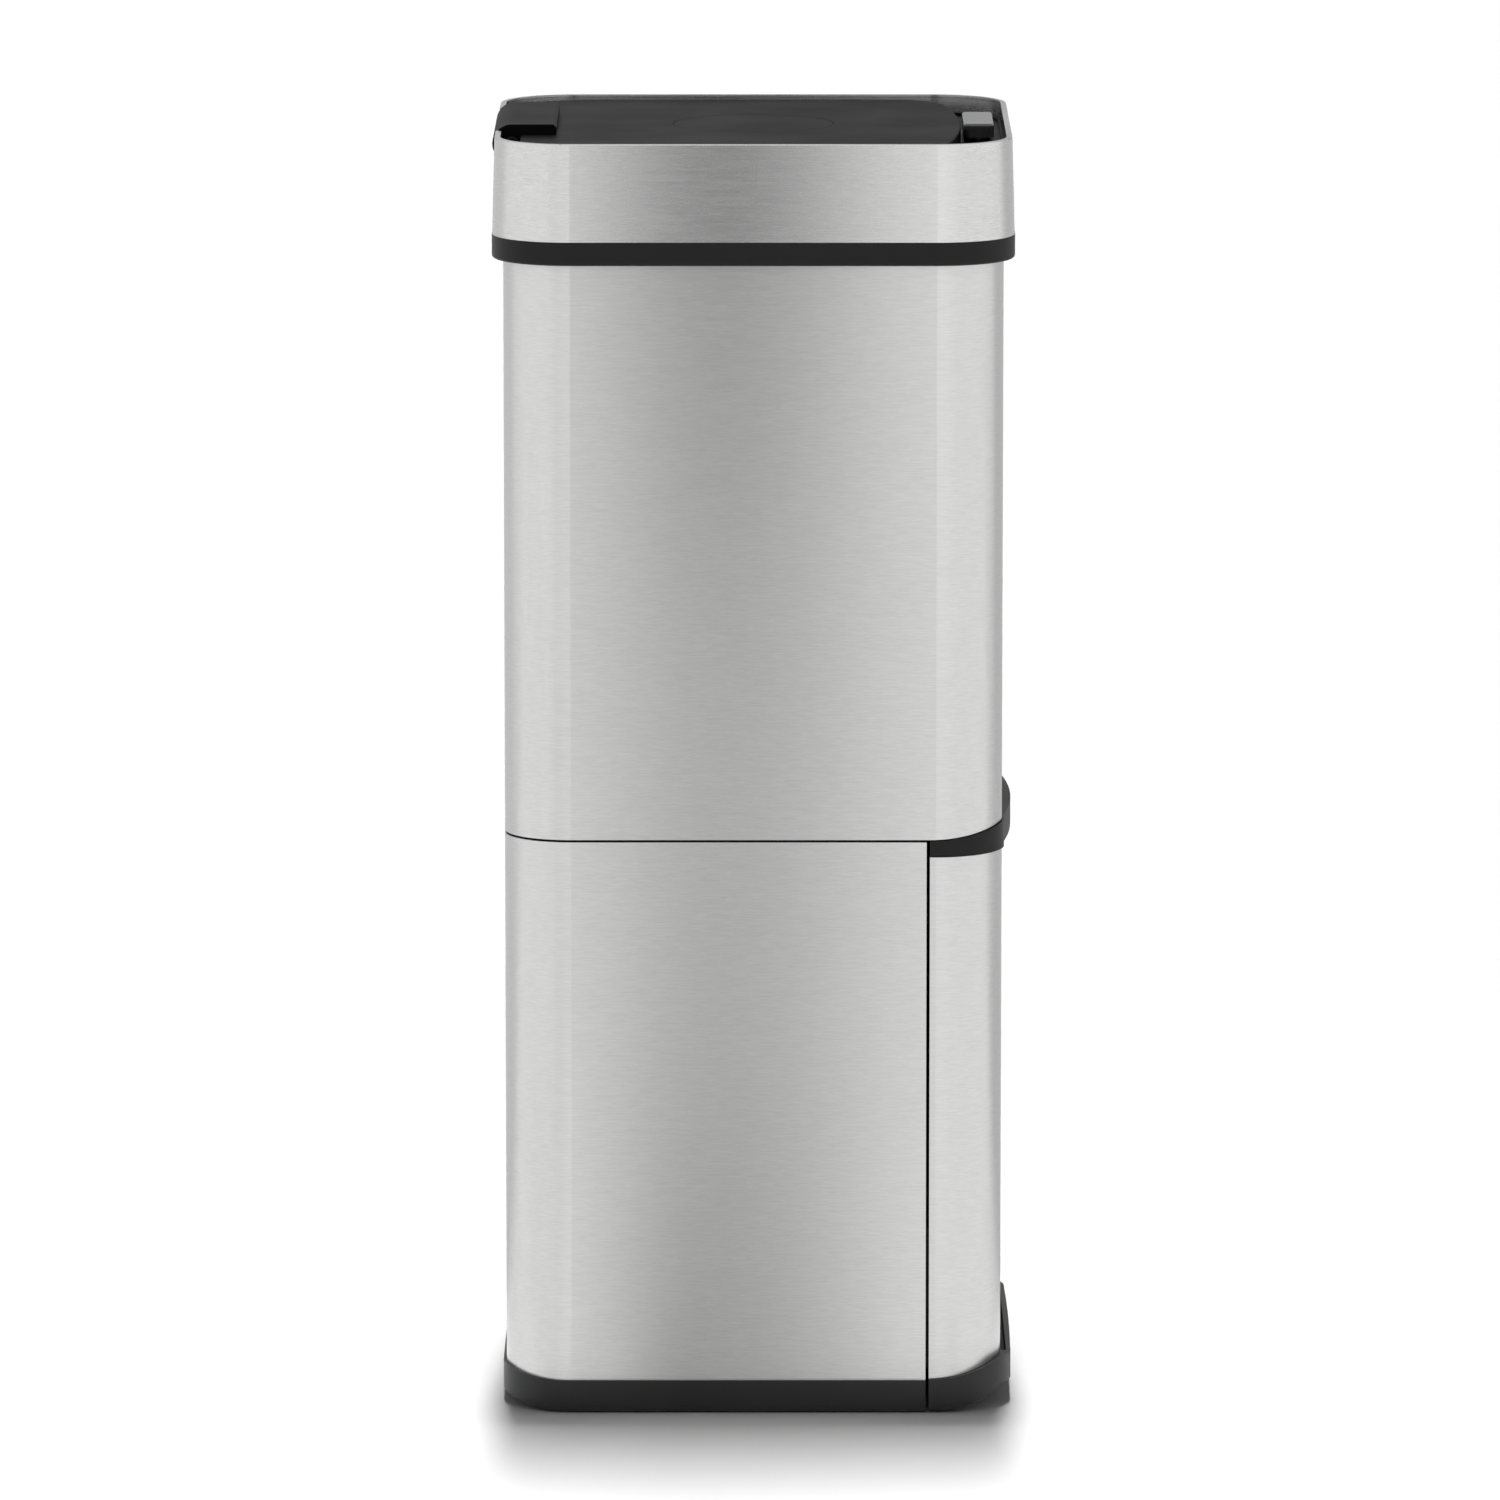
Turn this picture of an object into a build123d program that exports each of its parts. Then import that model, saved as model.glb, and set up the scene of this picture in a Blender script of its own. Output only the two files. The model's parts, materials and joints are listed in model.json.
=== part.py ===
from build123d import *
import math
import os

# Two-tier stainless steel trash compactor bin with a hand press in its lid.
#
# Frame: +X is the front, where the drawer pulls out, +Y is the left side of the bin as a person
# standing in it and looking along +X would have it, +Z is up. The origin is at the centre of the
# footprint, on the floor. Millimetres.

# ---------------------------------------------------------------- driving dimensions
body_x = 167.2              # half depth of the steel body
body_y = 150.0              # half width of the steel body
body_r = 45.0               # plan radius of its corners
sheet = 1.0                 # steel sheet thickness
wall = 2.5                  # moulded plastic wall

plinth_top = 22.0
plinth_grow = 2.0           # plinth beyond the steel
plinth_rise, toe_rise = 11.0, 14.0  # climb of the drawer plinth's upper and lower edge at the front
rear_rise, heel_rise = 5.5, 7.0     # the same for the base plinth at the rear
split_z = 390.6             # seam between the two tiers
seam_half = 0.8             # half the height of that seam
body_top = 788.0
rim_bottom = 779.0
rim_top = 794.8
top_z = 860.0               # upper edge of the steel collar
front_x = 116.0             # seam of the drawer front on the sides
door_gap = 2.2

rim_grow = 7.6              # rim beyond the body, all round
collar_grow = 7.3
draft = 1.5                 # inward taper of the collar, degrees

hinge_x, hinge_z, hinge_r = -162.0, 851.0, 13.0
hinge_half = 70.0           # half length of the lid's hinge barrel
pin_r = 2.5
pin_fit = 0.05

deck_z = 846.0              # top of the bezel's deck
lid_bottom, lid_top = 848.5, 857.0
lid_rear, lid_front, lid_half = -156.0, 140.0, 147.0

throat_rear, throat_front, throat_half, throat_r = -125.0, 115.0, 112.0, 30.0
throat_bottom = 796.0

cap_r = 54.0                # push cap of the press
well_r, well_floor = 57.0, 752.0
rod_r = 8.0
plate_z, plate_t = 736.0, 8.0
plate_x, plate_y = 85.0, 95.0

lip_rise = 8.0              # how far the upper tier's front edge arches up
lip_bottom = 380.2
lip_reach, lip_bow = 175.0, 92.0            # furthest point of the drawer's lip, half length of its bow
lip_ahead = 1.2             # how far the drawer's lip stands ahead of the outline
plinth_reach, plinth_bow = 175.0, 112.0
plinth_ahead = 5.0

drawer_bottom, drawer_top = 22.8, 379.6
tray_x0, tray_y, tray_z = -150.0, 130.8, 26.0
rail_z, rail_x0, rail_x1 = 96.0, -140.0, 110.0
screw_r, screw_hole = 1.9, 2.0
head_screw_spots = [(x, y) for x in (-90.0, 90.0) for y in (-146.0, 146.0)]
shelf_screw_spots = [(x, y) for x in (-110.0, 70.0) for y in (-138.0, 138.0)]
rail_screw_x = (-110.0, 80.0)

os.makedirs("parts", exist_ok=True)


# ---------------------------------------------------------------- shared shapes
def outline(grow, mode=Mode.ADD):
    """Plan outline of the body, grown outwards."""
    RectangleRounded(2 * (body_x + grow), 2 * (body_y + grow), body_r + grow, mode=mode)


def band(z0, z1, outer, inner, mode=Mode.ADD):
    """Wall that follows the body's outline, between two offsets of it."""
    with BuildSketch(Plane.XY.offset(z0)) as ring:
        outline(outer)
        outline(inner, Mode.SUBTRACT)
    extrude(ring.sketch, amount=z1 - z0, mode=mode)


def slab(z0, z1, grow, mode=Mode.ADD):
    """Full plate of the body's outline, grown outwards."""
    with BuildSketch(Plane.XY.offset(z0)) as face:
        outline(grow)
    extrude(face.sketch, amount=z1 - z0, mode=mode)


def block(x0, x1, y0, y1, z0, z1, mode=Mode.ADD):
    """Box between two corners."""
    with Locations(((x0 + x1) / 2, (y0 + y1) / 2, (z0 + z1) / 2)):
        Box(abs(x1 - x0), abs(y1 - y0), abs(z1 - z0), mode=mode)


def post(x, y, z0, z1, radius, mode=Mode.ADD):
    """Upright round bar."""
    with Locations((x, y, (z0 + z1) / 2)):
        Cylinder(radius, z1 - z0, mode=mode)


def rounded(x0, x1, half_y, radius, z0, z1, mode=Mode.ADD, taper=0.0):
    """Upright prism with a rounded rectangle for its plan."""
    with BuildSketch(Plane.XY.offset(z0)) as face:
        with Locations(((x0 + x1) / 2, 0)):
            RectangleRounded(x1 - x0, 2 * half_y, radius)
    extrude(face.sketch, amount=z1 - z0, taper=taper, mode=mode)


def cross_bar(x, z, y0, y1, radius, mode=Mode.ADD):
    """Round bar along Y."""
    with BuildSketch(Plane.XZ.offset(-y0)) as disc:
        with Locations((x, z)):
            Circle(radius)
    extrude(disc.sketch, amount=-(y1 - y0), mode=mode)


def front_outline(grow, ahead, reach, bow_half):
    """Plan of a drawer trim: the front of the body's outline, moved ahead and bowed out to reach."""
    back = front_x + door_gap
    chord_x = body_x + grow + ahead - 0.3
    with BuildSketch() as plan:
        with Locations((ahead, 0)):
            outline(grow)
        with BuildLine():
            ThreePointArc((chord_x, -bow_half), (reach, 0), (chord_x, bow_half))
            Line((chord_x, bow_half), (chord_x, -bow_half))
        make_face()
        with Locations((back + 50.0, 0)):
            Rectangle(100.0, 400.0, mode=Mode.INTERSECT)
    return plan.sketch


def edge_cutter(x0, x1, start_z, rise):
    """Solid below a curve that starts level at x0 and arches up to x1, then runs on level."""
    run = x1 - x0
    radius = (run * run + rise * rise) / (2 * rise)
    mid_z = start_z + radius - math.sqrt(radius * radius - (run / 2) ** 2)
    end_z = start_z + rise
    low_z = start_z - 60.0
    far_x = x1 + math.copysign(30.0, run)
    with BuildPart() as cutter:
        with BuildSketch(Plane.XZ):
            with BuildLine():
                ThreePointArc((x0, start_z), (x0 + run / 2, mid_z), (x1, end_z))
                Polyline((x1, end_z), (far_x, end_z), (far_x, low_z), (x0, low_z), (x0, start_z))
            make_face()
        extrude(amount=220, both=True)
    return cutter.part


def screw(x, y, z_head, z_tip, head_r=3.8, head_t=2.0):
    """Upright pan-head screw, its head at z_head and its shank running to z_tip."""
    step = math.copysign(head_t, z_head - z_tip)
    post(x, y, min(z_head, z_head + step), max(z_head, z_head + step), head_r)
    post(x, y, min(z_head, z_tip), max(z_head, z_tip), screw_r)


def save(name, part):
    """Labels a finished piece and writes its file."""
    part.label = name
    export_step(part, f"parts/{name}.step")


# ---------------------------------------------------------------- base and shells
feet_spots = [(x, y) for x in (-130.0, 85.0) for y in (-110.0, 110.0)]
rear_curve = edge_cutter(-127.0, -body_x, plinth_top, rear_rise)
heel_curve = edge_cutter(-127.0, -body_x, 1.1, heel_rise)
with BuildPart() as rear_wrap:
    slab(plinth_top - 1.0, plinth_top + rear_rise, plinth_grow)
    add(rear_curve, mode=Mode.INTERSECT)

with BuildPart() as base_plinth:
    slab(1.2, plinth_top, plinth_grow)
    add(rear_wrap.part)
    slab(6.0, plinth_top + rear_rise, -5.0, Mode.SUBTRACT)
    band(plinth_top, plinth_top + 7.0, -1.4, -4.0)
    block(front_x, 200, -170, 170, 0, plinth_top, Mode.SUBTRACT)
    block(front_x - 1.2, 200, -170, 170, plinth_top, 40, Mode.SUBTRACT)
    block(front_x - 3.0, front_x, -145, 145, 1.2, plinth_top)
    for y in (-60, 0, 60):
        block(-160, front_x - 3.0, y - 1.5, y + 1.5, 6.0, 14.0)
    for x in (-90, -20, 50):
        block(x - 1.5, x + 1.5, -130, 130, 6.0, 14.0)
    add(heel_curve, mode=Mode.SUBTRACT)
    for x, y in feet_spots:
        post(x, y, 0, 3.7, 13.0, Mode.SUBTRACT)
save("base_plinth", base_plinth.part)

with BuildPart() as rubber_feet:
    for x, y in feet_spots:
        post(x, y, 0, 3.7, 12.6)
    fillet(rubber_feet.edges().group_by(Axis.Z)[0], radius=0.8)
save("rubber_feet", rubber_feet.part)

with BuildPart() as lower_shell:
    band(plinth_top, split_z - seam_half, 0, -sheet)
    add(rear_curve, mode=Mode.SUBTRACT)
    block(front_x, 200, -170, 170, 0, 400, Mode.SUBTRACT)
    for side in (-1, 1):
        block(front_x - 1.0, front_x, side * 141.5, side * (body_y - 0.1),
              plinth_top + 0.2, split_z - seam_half)
save("lower_shell", lower_shell.part)

above_seam = edge_cutter(front_x, body_x, split_z + seam_half - 0.05, lip_rise)
with BuildPart() as upper_shell:
    band(split_z + seam_half, body_top, 0, -sheet)
    add(above_seam, mode=Mode.SUBTRACT)
save("upper_shell", upper_shell.part)

shelf_z = split_z + 10.0
shelf_cut = edge_cutter(front_x, body_x, split_z + 4.0, lip_rise)
with BuildPart() as divider_shelf:
    band(split_z - seam_half, split_z + seam_half, -0.7, -18.0)
    band(split_z - seam_half, split_z + 16.0, -1.4, -4.0)
    slab(shelf_z, shelf_z + 3.0, -3.0)
    add(shelf_cut, mode=Mode.SUBTRACT)
    block(front_x - 1.0, front_x, -131.0, 131.0, split_z + 1.0, shelf_z)
    for y in (-75, -25, 25, 75):
        block(-164, front_x - 1.0, y - 1.5, y + 1.5, split_z + 3.0, shelf_z)
    for x, y in shelf_screw_spots:
        post(x, y, split_z - 1, split_z + 1, screw_hole, Mode.SUBTRACT)
save("divider_shelf", divider_shelf.part)

with BuildPart() as shelf_screws:
    for x, y in shelf_screw_spots:
        screw(x, y, split_z - 2.3, split_z + 3.0, head_t=2.0)
save("shelf_screws", shelf_screws.part)

# ---------------------------------------------------------------- side frames and slides
frame_y = body_y - sheet - 4.2
frame_t = 1.5
frame_x0 = -124.0           # rear end of the side frames, where the shell's corners begin
rail_y = frame_y - frame_t
channel = 1.4               # thickness of a slide's channel
outer_depth, outer_half = 12.0, 22.5
middle_back, middle_front, middle_half = rail_y - 3.0, rail_y - 10.5, 18.0
inner_back, inner_half = rail_y - 6.0, 13.0
outer_ball_r, inner_ball_r = 1.5, 1.75


def channel_rail(side, web_y, open_y, half_height):
    """C-shaped slide member, its web at web_y and its flanges running to open_y."""
    inward = math.copysign(channel, open_y - web_y)
    block(rail_x0, rail_x1, side * web_y, side * open_y, rail_z - half_height, rail_z + half_height)
    block(rail_x0 - 1, rail_x1 + 1, side * (web_y + inward), side * (open_y + inward),
          rail_z - half_height + channel, rail_z + half_height - channel, Mode.SUBTRACT)


def sideways_hole(x, z, radius):
    """Round hole along Y, through both sides of the bin."""
    cross_bar(x, z, -200, 200, radius, Mode.SUBTRACT)


for side, hand in ((-1, "right"), (1, "left")):
    with BuildPart() as side_frame:
        block(frame_x0, rail_x1, side * frame_y, side * rail_y, 6.0, split_z - seam_half)
        for z in (6.0, split_z - seam_half - frame_t):
            block(frame_x0, rail_x1, side * frame_y, side * (frame_y - 13.0), z, z + frame_t)
        with BuildSketch(Plane.XZ) as windows:
            with Locations((-85, 250), (55, 250)):
                SlotOverall(180, 70, rotation=90)
        extrude(windows.sketch, amount=200, both=True, mode=Mode.SUBTRACT)
        for x in rail_screw_x:
            sideways_hole(x, rail_z, screw_hole)
        for x, y in shelf_screw_spots:
            post(x, y, split_z - 3, split_z, screw_hole, Mode.SUBTRACT)
    save(f"{hand}_side_frame", side_frame.part)

    with BuildPart() as outer_rail:
        channel_rail(side, rail_y, rail_y - outer_depth, outer_half)
        for x in rail_screw_x:
            sideways_hole(x, rail_z, screw_hole)
    save(f"{hand}_outer_rail", outer_rail.part)

    with BuildPart() as middle_rail:
        channel_rail(side, middle_back, middle_front, middle_half)
    save(f"{hand}_middle_rail", middle_rail.part)

    with BuildPart() as inner_rail:
        channel_rail(side, tray_y, inner_back, inner_half)
    save(f"{hand}_inner_rail", inner_rail.part)

    ball_y = side * (middle_front + 2.5)
    with BuildPart() as slide_balls:
        for step in range(5):
            for sign in (-1, 1):
                with Locations((-130 + 24 * step, ball_y, rail_z + sign * (middle_half + 1.55))):
                    Sphere(outer_ball_r)
                with Locations((-14 + 24 * step, ball_y, rail_z + sign * (inner_half + 1.8))):
                    Sphere(inner_ball_r)
    save(f"{hand}_slide_balls", slide_balls.part)

with BuildPart() as rail_screws:
    for side in (-1, 1):
        for x in rail_screw_x:
            head_face = rail_y - channel
            ends = sorted((side * head_face, side * (head_face - 1.2)))
            cross_bar(x, rail_z, ends[0], ends[1], 3.6)
            ends = sorted((side * head_face, side * (frame_y + 2.0)))
            cross_bar(x, rail_z, ends[0], ends[1], screw_r)
save("rail_screws", rail_screws.part)

# ---------------------------------------------------------------- upper tier's bucket
bucket_floor = shelf_z + 3.0
bucket_top = 776.0
with BuildPart() as waste_bucket:
    rounded(-150, 150, 131, 34, bucket_floor, bucket_top)
    rounded(-156, 156, 137, 40, bucket_top - 4.0, bucket_top)
    rounded(-150 + wall, 150 - wall, 131 - wall, 34 - wall, bucket_floor + wall, bucket_top + 1,
            Mode.SUBTRACT)
save("waste_bucket", waste_bucket.part)

with BuildPart() as bag_ring:
    rounded(-155, 155, 136, 39, bucket_top + 0.2, bucket_top + 3.2)
    rounded(-145.5, 145.5, 126.5, 31, bucket_top - 18.0, bucket_top + 0.2)
    rounded(-143.5, 143.5, 124.5, 29, bucket_top - 19.0, bucket_top + 4, Mode.SUBTRACT)
save("bag_ring", bag_ring.part)

# ---------------------------------------------------------------- head: rim, collar, bezel
with BuildPart() as rim_skirt:
    slab(rim_bottom, rim_top, rim_grow)
    fillet(rim_skirt.edges().group_by(Axis.Z)[0], radius=2.2)
    slab(rim_bottom - 1, body_top + 0.3, 0.9, Mode.SUBTRACT)
    slab(rim_bottom - 1, rim_top + 1, -7.0, Mode.SUBTRACT)
    for x, y in head_screw_spots:
        post(x, y, rim_bottom, rim_top + 1, screw_hole, Mode.SUBTRACT)
save("rim_skirt", rim_skirt.part)

ear_y = hinge_half + 1.2    # inner face of the bezel's hinge ears
ear_t = 9.0
barrel_room = hinge_z - hinge_r - 1.0
hem_t = 1.2                 # thickness of the collar's sheet
with BuildPart() as collar_ring:
    with BuildSketch(Plane.XY.offset(rim_top)) as outside:
        outline(collar_grow)
    extrude(outside.sketch, amount=top_z - rim_top, taper=draft)
    fillet(collar_ring.edges().group_by(Axis.Z)[-1], radius=0.9)
    with BuildSketch(Plane.XY.offset(rim_top - 0.01)) as inside:
        outline(collar_grow - hem_t)
    extrude(inside.sketch, amount=top_z - rim_top - hem_t, taper=draft, mode=Mode.SUBTRACT)
    slab(top_z - 3.0, top_z + 1.0, collar_grow - 5.6, Mode.SUBTRACT)
    block(-200, hinge_x + 8, -ear_y, ear_y, barrel_room, top_z + 1, Mode.SUBTRACT)
save("collar_ring", collar_ring.part)

latch_x0, latch_x1, latch_y = 140.0, 161.0, 31.0
slot_x0, slot_x1, slot_y = 123.0, 136.5, 9.0
bezel_grow = 4.2
with BuildPart() as inner_bezel:
    slab(deck_z - 3.0, deck_z, bezel_grow)
    band(rim_top, deck_z, bezel_grow, bezel_grow - 2.6)
    band(rim_top, rim_top + 3.0, bezel_grow, -8.0)
    rounded(throat_rear - wall, throat_front + wall, throat_half + wall, throat_r + wall,
            throat_bottom, deck_z)
    rounded(throat_rear, throat_front, throat_half, throat_r, 700, 900, Mode.SUBTRACT)
    band(deck_z, deck_z + 2.0, 2.0, 0.0)
    block(-200, 125, -200, 200, deck_z, top_z, Mode.SUBTRACT)
    block(-200, throat_rear - 20, -ear_y, ear_y, barrel_room, top_z, Mode.SUBTRACT)
    block(latch_x0, latch_x1, -latch_y, latch_y, deck_z - 4, deck_z + 1, Mode.SUBTRACT)
    block(slot_x0, slot_x1, -slot_y, slot_y, deck_z - 4, deck_z + 1, Mode.SUBTRACT)
    for side in (-1, 1):
        ends = sorted((side * ear_y, side * (ear_y + ear_t)))
        block(hinge_x - 5, hinge_x + 5, ends[0], ends[1], deck_z - 3, hinge_z)
        cross_bar(hinge_x, hinge_z, ends[0], ends[1], 5.0)
    cross_bar(hinge_x, hinge_z, -ear_y - 20, ear_y + 20, pin_r, Mode.SUBTRACT)
    for x, y in head_screw_spots:
        post(x, y, rim_top, rim_top + 4, screw_hole, Mode.SUBTRACT)
save("inner_bezel", inner_bezel.part)

with BuildPart() as head_screws:
    for x, y in head_screw_spots:
        screw(x, y, rim_top + 3.0, body_top + 1.5)
save("head_screws", head_screws.part)

with BuildPart() as lid_gasket:
    rounded(throat_rear - 9, throat_front + 6, throat_half + 10, throat_r + 10, deck_z, lid_bottom - 0.3)
    rounded(throat_rear - 5, throat_front + 2, throat_half + 6, throat_r + 6, deck_z - 1, lid_bottom,
            Mode.SUBTRACT)
save("lid_gasket", lid_gasket.part)

with BuildPart() as hinge_pin:
    cross_bar(hinge_x, hinge_z, -ear_y - ear_t, ear_y + ear_t, pin_r)
save("hinge_pin", hinge_pin.part)

spring_half = 18.0          # half length of the hinge's torsion spring
with BuildPart() as torsion_spring:
    with BuildLine() as torsion_path:
        Helix(pitch=3.0, height=2 * spring_half, radius=4.4, center=(hinge_x, -spring_half, hinge_z),
              direction=(0, 1, 0))
    with BuildSketch(Plane(torsion_path.line @ 0, z_dir=torsion_path.line % 0)) as torsion_wire:
        Circle(0.8)
    sweep(torsion_wire.sketch, path=torsion_path.line, is_frenet=True)
save("torsion_spring", torsion_spring.part)

# ---------------------------------------------------------------- latch: housing, button, bolt
housing_floor = 828.0
button_bottom, button_spring_y = 851.5, 19.0
button_half = 38.0
button_x, button_top = latch_x0 + 11.0, 860.8
bolt_z0, bolt_z1 = 836.0, 839.0
with BuildPart() as latch_housing:
    block(latch_x0 + 0.3, latch_x1 - 0.3, -latch_y + 0.3, latch_y - 0.3, housing_floor, deck_z)
    block(latch_x0 - 2.5, latch_x1 + 0.8, -latch_y - 5.0, latch_y + 5.0, deck_z, deck_z + 2.0)
    block(latch_x0 + 2.0, latch_x1 - 2.0, -latch_y + 2.0, latch_y - 2.0, housing_floor + 2.0,
          deck_z + 3, Mode.SUBTRACT)
    block(latch_x0 - 1, latch_x0 + 3, -5.4, 5.4, bolt_z0 - 0.4, bolt_z1 + 0.4, Mode.SUBTRACT)
save("latch_housing", latch_housing.part)

with BuildPart() as latch_button:
    block(button_x - 9.7, button_x + 10.8, -button_half, button_half, button_bottom, button_top)
    fillet(latch_button.edges().filter_by(Axis.Z), radius=4.0)
    fillet(latch_button.edges().group_by(Axis.Z)[-1], radius=1.6)
    block(button_x - 7.2, button_x + 8.3, 2.5 - button_half, button_half - 2.5, button_bottom,
          button_top - 2.5, Mode.SUBTRACT)
    for side in (-1, 1):
        post(button_x, side * button_spring_y, 842.0, button_top - 2.5, 5.5)
    with BuildSketch(Plane.XZ) as wedge:
        with Locations((button_x, 0)):
            Polygon((-7.0, 858.0), (-7.0, 834.5), (-5.8, 834.5), (-0.8, 839.5), (-0.8, 858.0), align=None)
    extrude(wedge.sketch, amount=3.0, both=True)
save("latch_button", latch_button.part)

with BuildPart() as button_springs:
    for side in (-1, 1):
        with BuildLine() as button_path:
            Helix(pitch=2.4, height=10.4, radius=4.0,
                  center=(button_x, side * button_spring_y, housing_floor + 2.8))
        with BuildSketch(Plane(button_path.line @ 0, z_dir=button_path.line % 0)) as button_wire:
            Circle(0.4)
        sweep(button_wire.sketch, path=button_path.line, is_frenet=True)
save("button_springs", button_springs.part)

with BuildPart() as latch_bolt:
    block(button_x - 17.6, button_x + 3.0, -5.0, 5.0, bolt_z0, bolt_z1)
    chamfer(latch_bolt.edges().group_by(Axis.X)[0].filter_by(Axis.Y).sort_by(Axis.Z)[-1], length=1.4)
    with BuildSketch(Plane.XZ) as window:
        with Locations((button_x, 0)):
            Polygon((-10.6, 840.0), (-10.6, 835.0), (-5.0, 835.0), (0.0, 840.0), align=None)
    extrude(window.sketch, amount=3.4, both=True, mode=Mode.SUBTRACT)
save("latch_bolt", latch_bolt.part)

# ---------------------------------------------------------------- lid
lid_rear_r, lid_front_r, lid_bow_r = 40.0, 32.0, 700.0
lid_front_end = lid_front - lid_half * lid_half / (2 * lid_bow_r)


def lid_outline(inset):
    """Plan of the lid: round corners, and a front edge bowed outwards."""
    rear, side, end = lid_rear + inset, lid_half - inset, lid_front_end - inset
    with BuildSketch() as plan:
        with BuildLine():
            Polyline((end, -side), (rear, -side), (rear, side), (end, side))
            ThreePointArc((end, side), (lid_front - inset, 0), (end, -side))
        make_face()
        fillet(plan.vertices().group_by(Axis.X)[0], radius=lid_rear_r - inset)
        fillet(plan.vertices().group_by(Axis.X)[-1], radius=lid_front_r - inset)
    return plan.sketch


cover_leg = -148.2          # front face of the cover's leg, behind the lid's notch
screw_x = -142.0            # screws that hold the hinge cover to the lid
with BuildPart() as lid_panel:
    extrude(Plane.XY.offset(lid_bottom) * lid_outline(0.0), amount=lid_top - lid_bottom)
    fillet(lid_panel.edges().group_by(Axis.Z)[-1], radius=1.2)
    extrude(Plane.XY.offset(lid_bottom) * lid_outline(wall), amount=lid_top - lid_bottom - wall,
            mode=Mode.SUBTRACT)
    block(-200, cover_leg + 0.2, -ear_y, ear_y, lid_bottom - 1, lid_top + 1, Mode.SUBTRACT)
    block(cover_leg + 0.2, cover_leg + 2.2, -ear_y, ear_y, lid_bottom, lid_top)
    post(0, 0, lid_bottom, lid_top + 1, cap_r + 0.35, Mode.SUBTRACT)
    for y in (-40, 0, 40):
        post(screw_x, y, lid_bottom, lid_top + 1, screw_hole, Mode.SUBTRACT)
save("lid_panel", lid_panel.part)

liner_z = lid_bottom + 0.4
bush_r = 10.5
with BuildPart() as lid_liner:
    extrude(Plane.XY.offset(liner_z) * lid_outline(wall + 0.3), amount=2.0)
    block(-200, -136.0, -ear_y, ear_y, liner_z - 1, liner_z + 3, Mode.SUBTRACT)
    post(0, 0, well_floor, liner_z + 5.0, well_r + wall)
    post(0, 0, well_floor + 3.0, liner_z + 6.0, well_r, Mode.SUBTRACT)
    post(0, 0, well_floor, well_floor + 14.0, bush_r + 3.5)
    post(0, 0, well_floor - 1, well_floor + 15.0, bush_r, Mode.SUBTRACT)
save("lid_liner", lid_liner.part)

striker_x = slot_x0 + 4.0
with BuildPart() as striker:
    block(striker_x, striker_x + 2.0, -7, 7, 832.0, liner_z)
    block(striker_x + 2.0, striker_x + 5.0, -7, 7, 832.0, 835.0)
    chamfer(striker.edges().filter_by(Axis.Y).group_by(Axis.X)[-1].sort_by(Axis.Z)[0], length=1.5)
save("striker", striker.part)

cover_x1 = -132.0
with BuildPart() as hinge_cover:
    cross_bar(hinge_x, hinge_z, -hinge_half, hinge_half, hinge_r)
    block(hinge_x, cover_x1, -hinge_half, hinge_half, lid_top, hinge_z + hinge_r)
    block(hinge_x, cover_leg, -hinge_half, hinge_half, lid_bottom, lid_top)
    chamfer(hinge_cover.edges().group_by(Axis.X)[-1].filter_by(Axis.Y).sort_by(Axis.Z)[-1], length=2.0)
    cross_bar(hinge_x, hinge_z, -ear_y, ear_y, pin_r + pin_fit, Mode.SUBTRACT)
    cross_bar(hinge_x, hinge_z, -spring_half - 3, spring_half + 3, 6.2, Mode.SUBTRACT)
    block(hinge_x - 4, hinge_x + 4, -spring_half - 3, spring_half + 3, 836, hinge_z, Mode.SUBTRACT)
    for y in (-40, 0, 40):
        post(screw_x, y, lid_top - 1, lid_top + 5.0, screw_hole, Mode.SUBTRACT)
save("hinge_cover", hinge_cover.part)

with BuildPart() as lid_screws:
    for y in (-40, 0, 40):
        screw(screw_x, y, lid_top - wall, lid_top + 4.5, head_r=3.4)
save("lid_screws", lid_screws.part)

with BuildPart() as guide_bush:
    post(0, 0, well_floor, well_floor + 14.0, bush_r)
    post(0, 0, well_floor - 2.0, well_floor, bush_r + 3.0)
    post(0, 0, well_floor - 3, well_floor + 15, rod_r + pin_fit, Mode.SUBTRACT)
save("guide_bush", guide_bush.part)

# ---------------------------------------------------------------- hand press
cap_top, cap_t = lid_top, 6.0
with BuildPart() as push_cap:
    post(0, 0, cap_top - cap_t, cap_top, cap_r)
    fillet(push_cap.edges().group_by(Axis.Z)[-1], radius=0.4)
    post(0, 0, cap_top - 14.0, cap_top - cap_t, rod_r + 4.0)
    post(0, 0, cap_top - 15.0, cap_top - 3.8, rod_r + 0.02, Mode.SUBTRACT)
save("push_cap", push_cap.part)

with BuildPart() as press_rod:
    post(0, 0, plate_z + plate_t, cap_top - 3.8, rod_r)
    post(0, 0, plate_z + plate_t - 1, plate_z + plate_t + 20, screw_r + 0.6, Mode.SUBTRACT)
save("press_rod", press_rod.part)

with BuildPart() as press_plate:
    rounded(-plate_x, plate_x, plate_y, 25, plate_z, plate_z + plate_t)
    fillet(press_plate.edges().group_by(Axis.Z)[0], radius=3.0)
    rounded(-plate_x + 3, plate_x - 3, plate_y - 3, 22, plate_z + 3.0, plate_z + plate_t + 1, Mode.SUBTRACT)
    post(0, 0, plate_z, plate_z + plate_t, 16.0)
    for y in (-45, 45):
        block(-plate_x + 2, plate_x - 2, y - 1.25, y + 1.25, plate_z + 2, plate_z + plate_t)
    for x in (-45, 45):
        block(x - 1.25, x + 1.25, -plate_y + 2, plate_y - 2, plate_z + 2, plate_z + plate_t)
    post(0, 0, plate_z - 1, plate_z + plate_t + 1, screw_r + 0.6, Mode.SUBTRACT)
save("press_plate", press_plate.part)

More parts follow.
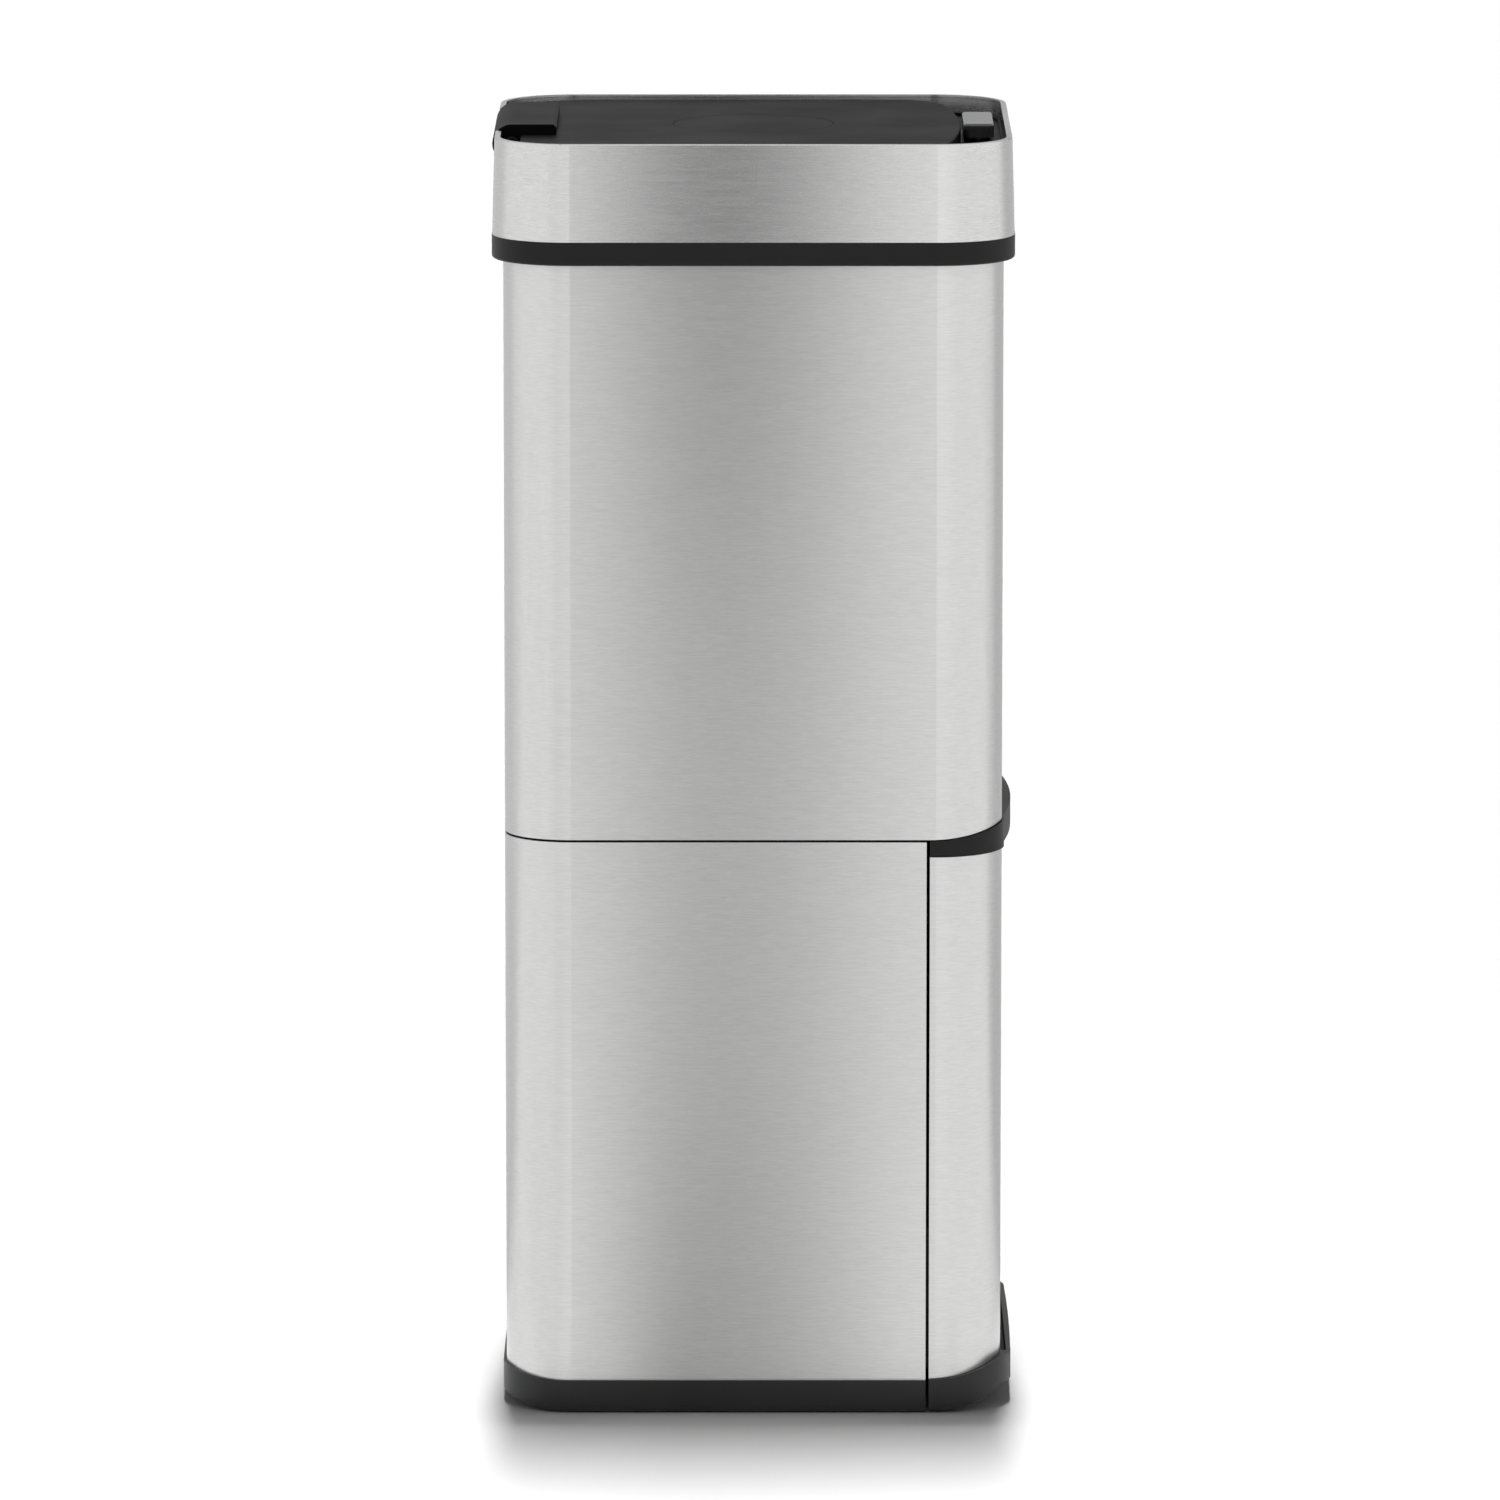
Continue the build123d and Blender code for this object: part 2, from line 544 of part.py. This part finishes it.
with BuildPart() as plate_screw:
    post(0, 0, plate_z - 2.5, plate_z, 6.0)
    post(0, 0, plate_z, plate_z + plate_t + 18, screw_r + 0.5)
save("plate_screw", plate_screw.part)

spring_floor = well_floor + 3.0
with BuildPart() as return_spring:
    with BuildLine() as return_path:
        Helix(pitch=8.0, height=cap_top - cap_t - spring_floor - 2.8, radius=16.4,
              center=(0, 0, spring_floor + 1.4))
    with BuildSketch(Plane(return_path.line @ 0, z_dir=return_path.line % 0)) as return_wire:
        Circle(1.2)
    sweep(return_wire.sketch, path=return_path.line, is_frenet=True)
save("return_spring", return_spring.part)

# ---------------------------------------------------------------- drawer
door_x = front_x + door_gap
above_plinth = edge_cutter(front_x, body_x, drawer_bottom + 0.3, plinth_rise)
with BuildPart() as drawer_skin:
    band(drawer_bottom, drawer_top, 0, -sheet)
    add(above_plinth, mode=Mode.SUBTRACT)
    block(-200, door_x, -170, 170, 0, 400, Mode.SUBTRACT)
    for side in (-1, 1):
        block(door_x, door_x + 1.0, side * 140, side * (body_y - 0.1), drawer_bottom, drawer_top)
save("drawer_skin", drawer_skin.part)

web_x = door_x + 1.4
with BuildPart() as drawer_frame:
    band(drawer_bottom, drawer_top, -sheet - 0.2, -sheet - 3.2)
    slab(drawer_bottom, drawer_bottom + 3.0, -sheet - 1.0)
    slab(drawer_top - 3.0, drawer_top, -sheet - 1.0)
    for z in (140.0, 260.0):
        slab(z, z + 2.5, -sheet - 1.0)
    block(-200, web_x, -170, 170, 0, 400, Mode.SUBTRACT)
    block(web_x + 16.0, 154.0, -110, 110, drawer_bottom + 4, drawer_top - 4, Mode.SUBTRACT)
    block(web_x, web_x + 3.0, -140, 140, drawer_bottom, drawer_top)
    add(above_plinth, mode=Mode.SUBTRACT)
    with BuildSketch(Plane.YZ.offset(web_x - 1)) as lightening:
        with Locations((0, 260)):
            with GridLocations(92, 95, 3, 2):
                RectangleRounded(78, 78, 12)
    extrude(lightening.sketch, amount=5.0, mode=Mode.SUBTRACT)
    for y in (-105, 105):
        for z in (50, 100):
            with Locations(Plane.YZ.offset(web_x - 1)):
                with Locations((y, z)):
                    Cylinder(screw_hole, 12, mode=Mode.SUBTRACT)
save("drawer_frame", drawer_frame.part)

below_seam = edge_cutter(front_x, body_x, split_z, lip_rise)
with BuildPart() as drawer_handle:
    extrude(Plane.XY.offset(lip_bottom) * front_outline(0.3, lip_ahead, lip_reach, lip_bow), amount=24.0)
    add(below_seam, mode=Mode.INTERSECT)
    block(web_x + 6.0, 148, -120, 120, lip_bottom - 1, lip_bottom + 4.5, Mode.SUBTRACT)
    block(body_x + 0.8, lip_reach - 3.0, -40, 40, lip_bottom - 1, lip_bottom + 8.0, Mode.SUBTRACT)
save("drawer_handle", drawer_handle.part)

below_skin = edge_cutter(front_x, body_x, drawer_bottom, plinth_rise)
toe_curve = edge_cutter(door_x + 6.0, body_x, 1.5, toe_rise)
with BuildPart() as drawer_plinth:
    plinth_plan = front_outline(plinth_grow, plinth_ahead, plinth_reach, plinth_bow)
    extrude(Plane.XY.offset(1.6) * plinth_plan, amount=60.0)
    add(below_skin, mode=Mode.INTERSECT)
    add(toe_curve, mode=Mode.SUBTRACT)
    block(body_x + 0.2, body_x + 4.0, -108, 108, drawer_bottom, 60, Mode.SUBTRACT)
    block(web_x + 3.0, 148, -125, 125, 10.0, 60, Mode.SUBTRACT)
save("drawer_plinth", drawer_plinth.part)

with BuildPart() as drawer_tray:
    block(tray_x0, web_x, -tray_y, tray_y, tray_z, 122.0)
    block(tray_x0 + 3, web_x - 3, -tray_y + 3, tray_y - 3, tray_z + 3, 123.0, Mode.SUBTRACT)
    for x in (-85, 0, 85):
        block(x - 25, x + 25, -60, 60, tray_z - 1, tray_z + 4, Mode.SUBTRACT)
    for y in (-105, 105):
        for z in (50, 100):
            with Locations(Plane.YZ.offset(web_x)):
                with Locations((y, z)):
                    Cylinder(screw_hole, 12, mode=Mode.SUBTRACT)
save("drawer_tray", drawer_tray.part)

with BuildPart() as drawer_screws:
    for y in (-105, 105):
        for z in (50, 100):
            with Locations(Plane.YZ.offset(web_x - 3.9)):
                with Locations((y, z)):
                    Cylinder(3.6, 1.8)
            with Locations(Plane.YZ.offset(web_x)):
                with Locations((y, z)):
                    Cylinder(screw_r, 8.0)
save("drawer_screws", drawer_screws.part)

with BuildPart() as recycling_bucket:
    rounded(-140, 110, 121, 32, tray_z + 3, 350.0, taper=-0.8)
    rounded(-140 + wall, 110 - wall, 121 - wall, 32 - wall, tray_z + 3 + wall, 351.0,
            Mode.SUBTRACT, taper=-0.8)
    with BuildSketch(Plane.XY.offset(346.0)) as rim_face:
        with Locations((-15, 0)):
            RectangleRounded(264, 256, 38)
            RectangleRounded(256, 248, 34, mode=Mode.SUBTRACT)
    extrude(rim_face.sketch, amount=4.0)
save("recycling_bucket", recycling_bucket.part)
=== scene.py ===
import json
import math

import bpy
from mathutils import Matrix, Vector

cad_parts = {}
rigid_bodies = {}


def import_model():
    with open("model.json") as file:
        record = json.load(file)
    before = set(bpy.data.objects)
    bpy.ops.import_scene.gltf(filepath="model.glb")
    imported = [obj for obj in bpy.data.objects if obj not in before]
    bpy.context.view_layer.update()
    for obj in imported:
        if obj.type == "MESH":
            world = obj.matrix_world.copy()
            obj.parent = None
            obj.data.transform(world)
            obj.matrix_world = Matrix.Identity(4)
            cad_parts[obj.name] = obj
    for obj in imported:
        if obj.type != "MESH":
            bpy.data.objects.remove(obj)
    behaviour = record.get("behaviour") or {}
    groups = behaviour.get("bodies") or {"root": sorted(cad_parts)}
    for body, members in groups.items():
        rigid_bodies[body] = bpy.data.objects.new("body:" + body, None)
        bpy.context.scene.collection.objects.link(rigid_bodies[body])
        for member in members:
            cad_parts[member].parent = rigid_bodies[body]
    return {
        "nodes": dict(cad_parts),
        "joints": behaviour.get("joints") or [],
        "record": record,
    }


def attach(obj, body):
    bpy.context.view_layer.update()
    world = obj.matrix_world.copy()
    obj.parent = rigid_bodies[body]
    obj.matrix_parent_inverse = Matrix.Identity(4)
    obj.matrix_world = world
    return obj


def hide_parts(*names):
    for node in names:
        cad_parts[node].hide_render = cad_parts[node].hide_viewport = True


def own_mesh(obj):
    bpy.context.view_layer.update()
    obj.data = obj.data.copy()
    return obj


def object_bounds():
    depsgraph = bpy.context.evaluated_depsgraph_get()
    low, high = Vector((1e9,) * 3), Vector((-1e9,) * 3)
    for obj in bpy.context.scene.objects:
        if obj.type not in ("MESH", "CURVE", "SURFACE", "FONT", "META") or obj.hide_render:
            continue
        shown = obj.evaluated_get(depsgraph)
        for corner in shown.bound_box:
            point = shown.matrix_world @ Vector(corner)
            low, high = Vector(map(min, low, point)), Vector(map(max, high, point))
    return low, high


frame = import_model()
cad_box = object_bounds()
nodes = frame["nodes"]
floor_z = cad_box[0][2]


# ---------------------------------------------------------------- material building blocks
def new_material(name):
    """Empty node material: returns it, its tree, and its Principled shader."""
    material = bpy.data.materials.new(name)
    material.use_nodes = True
    tree = material.node_tree
    shader = tree.nodes["Principled BSDF"]
    return material, tree, shader


def stretched_noise(tree, scale, stretch=(1, 1, 1), detail=4.0, roughness=0.5):
    """Noise in object space, its grain stretched by dividing each axis's frequency."""
    place = tree.nodes.new("ShaderNodeTexCoord")
    mapping = tree.nodes.new("ShaderNodeMapping")
    mapping.inputs["Scale"].default_value = stretch
    noise = tree.nodes.new("ShaderNodeTexNoise")
    noise.inputs["Scale"].default_value = scale
    noise.inputs["Detail"].default_value = detail
    noise.inputs["Roughness"].default_value = roughness
    tree.links.new(place.outputs["Object"], mapping.inputs["Vector"])
    tree.links.new(mapping.outputs["Vector"], noise.inputs["Vector"])
    return noise.outputs["Fac"]


def ramp(tree, source, stops):
    """Colour ramp from a list of (position, colour)."""
    node = tree.nodes.new("ShaderNodeValToRGB")
    elements = node.color_ramp.elements
    while len(elements) < len(stops):
        elements.new(0.5)
    for element, (position, colour) in zip(elements, stops):
        element.position = position
        element.color = (*colour, 1.0)
    tree.links.new(source, node.inputs["Fac"])
    return node.outputs["Color"]


def spread(tree, source, from_low, from_high, to_low, to_high):
    """Maps a value from one range to another."""
    node = tree.nodes.new("ShaderNodeMapRange")
    for socket, value in zip(("From Min", "From Max", "To Min", "To Max"),
                             (from_low, from_high, to_low, to_high)):
        node.inputs[socket].default_value = value
    tree.links.new(source, node.inputs["Value"])
    return node.outputs["Result"]


def bump(tree, source, strength, distance, below=None):
    """Bump from a height, stacked on another bump where one is given."""
    node = tree.nodes.new("ShaderNodeBump")
    node.inputs["Strength"].default_value = strength
    node.inputs["Distance"].default_value = distance
    tree.links.new(source, node.inputs["Height"])
    if below:
        tree.links.new(below, node.inputs["Normal"])
    return node.outputs["Normal"]


# ---------------------------------------------------------------- materials
stainless = (0.66, 0.66, 0.655)
line_grain = (110, 110, 1500)       # brushed lines: a hair high, a centimetre long
streak_grain = (25, 25, 420)        # broader streaks between them


def brushed_steel(name, rough):
    """Stainless sheet brushed horizontally: fine lines, faint clouds, highlights drawn out upright."""
    material, tree, shader = new_material(name)
    lines = stretched_noise(tree, 1.0, line_grain, detail=3.0, roughness=0.7)
    streaks = stretched_noise(tree, 1.0, streak_grain, detail=3.0)
    clouds = stretched_noise(tree, 4.0, detail=2.0)
    dark = tuple(0.93 * t for t in stainless)
    bright = tuple(1.07 * t for t in stainless)
    tree.links.new(ramp(tree, lines, [(0.30, dark), (0.70, bright)]), shader.inputs["Base Color"])
    shader.inputs["Metallic"].default_value = 1.0
    shader.inputs["Anisotropic"].default_value = 0.85
    shader.inputs["Anisotropic Rotation"].default_value = 0.25
    total = tree.nodes.new("ShaderNodeMath")
    total.operation = "ADD"
    tree.links.new(spread(tree, streaks, 0.3, 0.7, rough - 0.015, rough + 0.015), total.inputs[0])
    tree.links.new(spread(tree, clouds, 0.3, 0.7, -0.01, 0.01), total.inputs[1])
    tree.links.new(total.outputs["Value"], shader.inputs["Roughness"])
    tangent = tree.nodes.new("ShaderNodeTangent")
    tangent.direction_type = "RADIAL"
    tangent.axis = "Z"
    tree.links.new(tangent.outputs["Tangent"], shader.inputs["Tangent"])
    tree.links.new(bump(tree, lines, 0.10, 0.00003), shader.inputs["Normal"])
    return material


def plated_steel(name, tint, rough, scale=60.0):
    """Plain plated or drawn steel with slight mottling and handling marks."""
    material, tree, shader = new_material(name)
    mottle = stretched_noise(tree, scale, detail=3.0)
    marks = stretched_noise(tree, scale * 6.0, (1, 0.15, 1), detail=2.0)
    dark = tuple(0.88 * t for t in tint)
    tree.links.new(ramp(tree, mottle, [(0.35, dark), (0.65, tint)]), shader.inputs["Base Color"])
    shader.inputs["Metallic"].default_value = 1.0
    tree.links.new(spread(tree, marks, 0.3, 0.7, rough - 0.04, rough + 0.06), shader.inputs["Roughness"])
    return material


def moulded_plastic(name, tint, rough, grain=2600.0, depth=0.00004, coat=0.0, specular=0.5):
    """Moulded plastic: fine spark-eroded grain, uneven sheen, faint colour drift."""
    material, tree, shader = new_material(name)
    drift = stretched_noise(tree, 14.0, detail=2.0)
    skin = stretched_noise(tree, grain, detail=2.0)
    dark = tuple(0.85 * t for t in tint)
    bright = tuple(1.12 * t for t in tint)
    tree.links.new(ramp(tree, drift, [(0.3, dark), (0.7, bright)]), shader.inputs["Base Color"])
    tree.links.new(spread(tree, drift, 0.3, 0.7, rough - 0.04, rough + 0.04), shader.inputs["Roughness"])
    tree.links.new(bump(tree, skin, 0.25, depth), shader.inputs["Normal"])
    shader.inputs["Specular IOR Level"].default_value = specular
    shader.inputs["Coat Weight"].default_value = coat
    shader.inputs["Coat Roughness"].default_value = 0.12
    return material


def soft_rubber(name, tint):
    """Moulded rubber: matt, dusty, with a coarse skin."""
    material, tree, shader = new_material(name)
    dust = stretched_noise(tree, 90.0, detail=5.0)
    skin = stretched_noise(tree, 1400.0, detail=2.0)
    dusty = tuple(1.9 * t for t in tint)
    tree.links.new(ramp(tree, dust, [(0.4, tint), (0.8, dusty)]), shader.inputs["Base Color"])
    tree.links.new(spread(tree, dust, 0.3, 0.7, 0.70, 0.86), shader.inputs["Roughness"])
    tree.links.new(bump(tree, skin, 0.4, 0.00008), shader.inputs["Normal"])
    return material


finishes = {
    "brushed_steel": brushed_steel("brushed_steel_sheet", 0.31),
    "collar_steel": brushed_steel("brushed_collar_steel", 0.27),
    "zinc_steel": plated_steel("zinc_plated_steel", (0.60, 0.62, 0.64), 0.38),
    "polished_steel": plated_steel("polished_steel", (0.74, 0.74, 0.75), 0.14),
    "screw_steel": plated_steel("screw_steel", (0.46, 0.46, 0.47), 0.30),
    "spring_steel": plated_steel("spring_wire", (0.42, 0.43, 0.45), 0.26, 220.0),
    "black_plastic": moulded_plastic("black_trim_plastic", (0.0092, 0.0093, 0.0096), 0.46, specular=0.22),
    # painted light: a lighter, glossier copy of the trim plastic for the plinths, which stand in the floor
    # shadow
    "painted_light_plinth_plastic": moulded_plastic("painted_light_plinth_plastic", (0.0110, 0.0111, 0.0115), 0.46, specular=0.42),
    # painted shade: a darker copy of the trim plastic for the lid and other upward faces under the overhead
    # light; its low specular is a matt finish
    "painted_shade_top_plastic": moulded_plastic("matt_painted_shade_top_plastic", (0.0045, 0.0045, 0.0047), 0.50, specular=0.06),
    # painted shade: a darker copy of the trim plastic for the bezel recessed beside the lid
    "painted_shade_recess_plastic": moulded_plastic("painted_shade_recess_plastic", (0.0035, 0.0035, 0.0037), 0.50, specular=0.15),
    "inner_plastic": moulded_plastic("dark_inner_plastic", (0.045, 0.046, 0.049), 0.55, 1800.0),
    "bucket_plastic": moulded_plastic("bucket_plastic", (0.14, 0.145, 0.155), 0.42, 1500.0),
    "button_plastic": moulded_plastic("button_plastic", (0.060, 0.061, 0.065), 0.26, 3200.0, 0.00001, 0.4),
    "bush_plastic": moulded_plastic("bush_plastic", (0.62, 0.60, 0.54), 0.35),
    "rubber": soft_rubber("foot_rubber", (0.016, 0.016, 0.016)),
}


def dress(piece, slot):
    """Gives a piece one finish over its whole surface."""
    if not piece.data.materials:
        piece.data.materials.append(None)
    for material_slot in piece.material_slots:
        material_slot.material = finishes[slot]


# pieces whose finish differs from that of their slot; the plinths' copy of the trim plastic is lighter
# (painted light), the recess's and the upward faces' copies are darker (painted shade)
own_finish = {"collar_ring": "collar_steel", "inner_bezel": "painted_shade_recess_plastic", "lid_panel": "painted_shade_top_plastic",
              "hinge_cover": "painted_shade_top_plastic", "push_cap": "painted_shade_top_plastic", "divider_shelf": "painted_shade_top_plastic",
              "base_plinth": "painted_light_plinth_plastic", "drawer_plinth": "painted_light_plinth_plastic"}
for subpart in frame["record"]["subparts"]:
    node = subpart["node"]
    dress(nodes[node], own_finish.get(node, subpart["material_slot"]))


# ---------------------------------------------------------------- spring wires
def shortening_spring(joint, node):
    """The wire of a CAD spring, in spring steel, held on the joint's parent body in place of the CAD node.
    """
    spring = bpy.data.objects.new(node + "_wire", nodes[node].data.copy())
    bpy.context.scene.collection.objects.link(spring)
    dress(spring, "spring_steel")
    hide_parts(node)
    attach(spring, joint["parent"])
    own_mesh(spring)


for joint in frame["joints"]:
    for entry in joint.get("deforming_nodes", []):
        shortening_spring(joint, entry["node"])


# ---------------------------------------------------------------- stage, lights, camera
floor_size = 24.0


def make_floor():
    """Pale floor under the bin, large enough to fill the view."""
    bpy.ops.mesh.primitive_plane_add(size=floor_size, location=(0, 0, floor_z))
    floor = bpy.context.object
    floor.name = "studio_floor"
    material, tree, shader = new_material("pale_floor")
    clouds = stretched_noise(tree, 0.8, detail=2.0)
    tree.links.new(ramp(tree, clouds, [(0.3, (0.90, 0.90, 0.90)), (0.7, (0.93, 0.93, 0.93))]),
                   shader.inputs["Base Color"])
    shader.inputs["Roughness"].default_value = 0.9
    floor.data.materials.append(material)


card_glow = 2.0                     # strength of a card where its ramp is white


def shade_stops(tree, across, dark_at, stops):
    """Grey levels along one direction: stops are (distance from the dark line, strength)."""
    reach = max(abs(offset) for offset, _ in stops)
    place = spread(tree, across, dark_at - reach, dark_at + reach, 0.0, 1.0)
    greys = [(0.5 + 0.5 * offset / reach, (level / card_glow,) * 3) for offset, level in stops]
    return ramp(tree, place, greys)


def card_material(name, dark_at, stops):
    """Glowing card: stops are (distance from its dark line, strength low down, strength high up)."""
    material = bpy.data.materials.new(name)
    material.use_nodes = True
    tree = material.node_tree
    tree.nodes.clear()
    place = tree.nodes.new("ShaderNodeTexCoord")
    parts = tree.nodes.new("ShaderNodeSeparateXYZ")
    mix = tree.nodes.new("ShaderNodeMix")
    glow = tree.nodes.new("ShaderNodeEmission")
    output = tree.nodes.new("ShaderNodeOutputMaterial")
    tree.links.new(place.outputs["Object"], parts.inputs["Vector"])
    mix.data_type = "RGBA"
    climb = ramp(tree, parts.outputs["Z"], [(z, (share,) * 3) for z, share in card_climb])
    tree.links.new(climb, mix.inputs["Factor"])
    tree.links.new(shade_stops(tree, parts.outputs["X"], dark_at, [(x, lower) for x, lower, _ in stops]),
                   mix.inputs["A"])
    tree.links.new(shade_stops(tree, parts.outputs["X"], dark_at, [(x, upper) for x, _, upper in stops]),
                   mix.inputs["B"])
    tree.links.new(mix.outputs["Result"], glow.inputs["Color"])
    glow.inputs["Strength"].default_value = card_glow
    tree.links.new(glow.outputs["Emission"], output.inputs["Surface"])
    return material


card_near, card_far, card_tall, card_lift = 0.19, 1.06, 2.4, 0.002


def make_card(name, azimuth, half, material):
    """L-shaped studio card facing the bin, seen by reflections only: it shades the steel."""
    mesh = bpy.data.meshes.new(name)
    profile = [(-card_near, card_lift), (-card_far, card_lift), (-card_far, card_tall)]
    corners = [(side * half, y, z) for y, z in profile for side in (-1, 1)]
    mesh.from_pydata(corners, [], [(0, 1, 3, 2), (2, 3, 5, 4)])
    card = bpy.data.objects.new(name, mesh)
    card.rotation_euler = (0, 0, azimuth)
    mesh.materials.append(material)
    card.visible_camera = False
    card.visible_diffuse = False
    card.visible_shadow = False
    bpy.context.scene.collection.objects.link(card)


room_white = 1.0
room_fill = 0.10                    # the white room as matt surfaces see it
sun_tilts = range(3, 19, 2)         # overhead strip, leaning back behind the bin, degrees
sun_total, sun_width = 3.25, 2.5
card_climb = [(0.0, 0.45), (0.2, 0.0), (0.45, 0.5), (0.75, 1.0)]    # height, share of the upper shading
front_shades = [(-0.70, 0.90, 0.94), (-0.20, 0.93, 0.98), (-0.11, 1.12, 1.12), (-0.06, 0.92, 0.66),
                (-0.02, 0.66, 0.12), (0.0, 0.64, 0.04), (0.05, 0.70, 0.18), (0.10, 0.80, 0.58),
                (0.15, 1.01, 1.09), (0.20, 1.02, 1.14), (0.70, 0.98, 1.04)]
back_shades = [(-3.5, 1.0, 1.0), (-2.6, 0.80, 0.80), (-1.8, 0.64, 0.64), (-0.6, 0.60, 0.60),
               (0.0, 0.50, 0.50), (0.17, 0.62, 0.62), (0.6, 0.68, 0.68), (2.0, 0.78, 0.78), (3.5, 1.0, 1.0)]


def make_lights():
    """White room, a graded grey card facing each side of the bin, and an overhead strip of light."""
    world = bpy.data.worlds.new("white_room")
    world.use_nodes = True
    tree = world.node_tree
    background = tree.nodes["Background"]
    background.inputs["Color"].default_value = (1.0, 1.0, 1.0, 1.0)
    path = tree.nodes.new("ShaderNodeLightPath")
    strength = spread(tree, path.outputs["Is Diffuse Ray"], 0.0, 1.0, room_white, room_fill)
    tree.links.new(strength, background.inputs["Strength"])
    bpy.context.scene.world = world
    for tilt in sun_tilts:
        data = bpy.data.lights.new("strip_light", "SUN")
        data.energy = sun_total / len(sun_tilts)
        data.angle = math.radians(sun_width)
        light = bpy.data.objects.new("strip_light", data)
        light.rotation_euler = (math.radians(-tilt), 0, 0)
        light.visible_glossy = False
        bpy.context.scene.collection.objects.link(light)
    make_card("graded_card_right", 0.0, 0.70, card_material("front_card", -0.04, front_shades))
    make_card("graded_card_left", math.pi, 3.5, card_material("back_card", 0.0, back_shades))


camera_distance = 8.0               # from the nearest side of the bin
camera_x, camera_z = -0.0023, 1.761
camera_dip = 9.28                   # degrees below level
camera_lens, sensor_width = 291.2, 36.0     # millimetres


def make_camera():
    """Long lens, above the bin's top and looking down a little at one side of it."""
    data = bpy.data.cameras.new("camera")
    data.sensor_width = sensor_width
    data.lens = camera_lens
    data.clip_end = 100.0
    camera = bpy.data.objects.new("camera", data)
    camera.location = (camera_x, cad_box[0][1] - camera_distance, camera_z)
    camera.rotation_euler = (math.radians(90.0 - camera_dip), 0, 0)
    bpy.context.scene.collection.objects.link(camera)
    bpy.context.scene.camera = camera


make_floor()
make_lights()
make_camera()
bpy.context.scene.view_settings.view_transform = "Standard"
